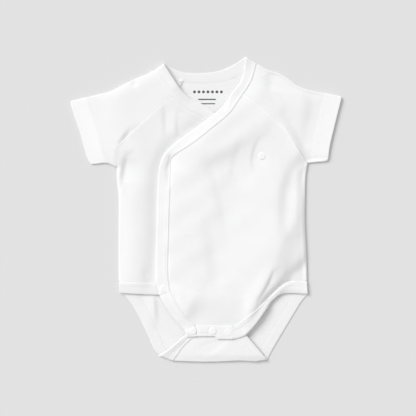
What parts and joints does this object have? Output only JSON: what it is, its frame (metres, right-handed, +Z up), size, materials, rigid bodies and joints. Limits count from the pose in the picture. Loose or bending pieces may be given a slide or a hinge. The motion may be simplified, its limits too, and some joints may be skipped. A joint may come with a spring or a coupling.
{
  "type": "baby bodysuit",
  "caption": "Short-sleeved wrap-front baby bodysuit in white cotton knit, with raglan sleeves, bound edges and a snapped crotch, laid flat on its back.",
  "frame": {"origin": "on the surface that the garment lies on, under the middle of its outline", "axes": "+Y runs from the crotch fold to the neck, +X to the right as seen from above, on the side where the over front is sewn in, and +Z up, from the back to the front of the garment"},
  "size_m": [0.3019, 0.3405, 0.008],
  "materials": {
    "knit": "white cotton jersey, matte",
    "binding": "white cotton rib, matte",
    "snap": "white enamelled cap, satin"
  },
  "bodies": {
    "root": {"back_panel": "knit", "front_under": "knit", "front_over": "knit", "sleeve_left": "knit", "sleeve_right": "knit", "neck_binding": "binding", "hem_binding": "binding", "leg_binding_front_left": "binding", "leg_binding_front_right": "binding", "leg_binding_back_left": "binding", "leg_binding_back_right": "binding", "crotch_band": "binding", "snap_crotch_1": "snap", "snap_crotch_2": "snap", "snap_crotch_3": "snap", "snap_wrap": "snap", "snap_chest": "snap"}
  },
  "joints": []
}
